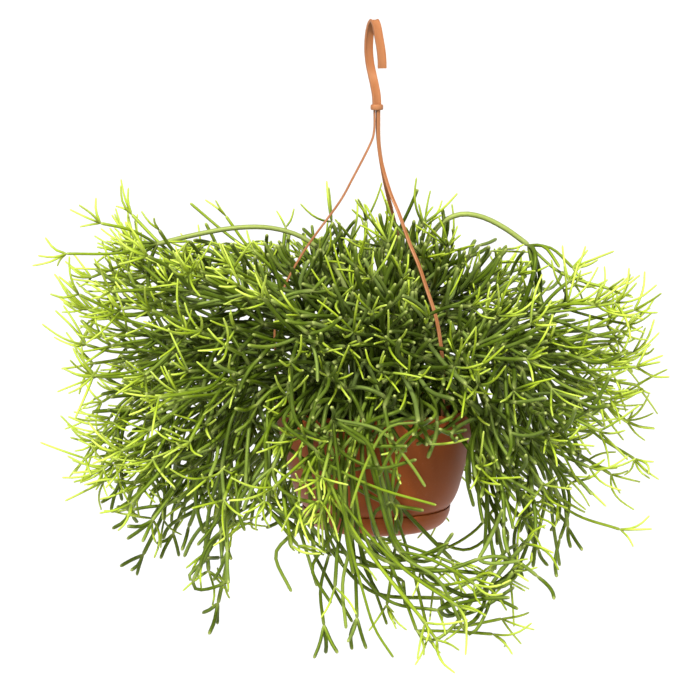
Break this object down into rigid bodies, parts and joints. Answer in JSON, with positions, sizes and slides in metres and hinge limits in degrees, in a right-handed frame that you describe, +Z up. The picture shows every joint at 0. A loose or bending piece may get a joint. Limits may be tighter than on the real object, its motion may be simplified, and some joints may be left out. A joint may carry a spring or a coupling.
{
  "type": "potted rhipsalis crispata",
  "caption": "Pencil-stemmed rhipsalis in a round plastic hanging pot with a clip-on saucer, three straps and a flat hook.",
  "frame": {"origin": "top of the inside of the hook's bend, where the hook rests on the rod or bracket that carries it", "axes": "+Z up, -Y towards the front of the picture, +X to its right; the pot's own axis is parallel to Z, 2.1 mm along +X and 4.0 mm along -Y from the origin"},
  "size_m": [0.4675, 0.3873, 0.4607],
  "materials": {
    "terracotta_plastic": "satin terracotta",
    "saucer_plastic": "satin terracotta",
    "hanger_plastic": "satin pale orange",
    "potting_soil": "dark crumbly peat",
    "stem_green_0": "smooth green skin",
    "stem_green_1": "smooth yellow-green skin",
    "stem_green_2": "smooth deep green skin"
  },
  "bodies": {
    "root": {"hook": "hanger_plastic", "pot": "terracotta_plastic", "saucer": "saucer_plastic", "soil": "potting_soil", "spray_arching_left": "stem_green_0", "spray_arching_right": "stem_green_1", "spray_cutting_01": "stem_green_2", "spray_cutting_02": "stem_green_0", "spray_cutting_03": "stem_green_1", "spray_cutting_04": "stem_green_2", "spray_cutting_05": "stem_green_0", "spray_cutting_06": "stem_green_1", "spray_cutting_07": "stem_green_2", "spray_cutting_08": "stem_green_0", "spray_cutting_09": "stem_green_1", "spray_cutting_10": "stem_green_2", "spray_cutting_11": "stem_green_0", "spray_cutting_12": "stem_green_1", "spray_cutting_13": "stem_green_2", "spray_cutting_14": "stem_green_0", "spray_cutting_15": "stem_green_1", "spray_cutting_16": "stem_green_2", "spray_cutting_17": "stem_green_0", "spray_cutting_18": "stem_green_1", "spray_cutting_19": "stem_green_2", "spray_cutting_20": "stem_green_0", "spray_cutting_21": "stem_green_1", "spray_cutting_22": "stem_green_2", "spray_cutting_23": "stem_green_0", "spray_cutting_24": "stem_green_1", "spray_cutting_25": "stem_green_2", "spray_cutting_26": "stem_green_0", "spray_cutting_27": "stem_green_1", "spray_cutting_28": "stem_green_2", "spray_cutting_29": "stem_green_0", "spray_cutting_30": "stem_green_1", "spray_cutting_31": "stem_green_2", "spray_cutting_32": "stem_green_0", "spray_cutting_33": "stem_green_1", "spray_cutting_34": "stem_green_2", "spray_cutting_35": "stem_green_0", "spray_front_trailing_1": "stem_green_0", "spray_front_trailing_2": "stem_green_1", "spray_front_trailing_3": "stem_green_2", "strap_back": "hanger_plastic", "strap_front": "hanger_plastic", "strap_left": "hanger_plastic"}
  },
  "joints": []
}
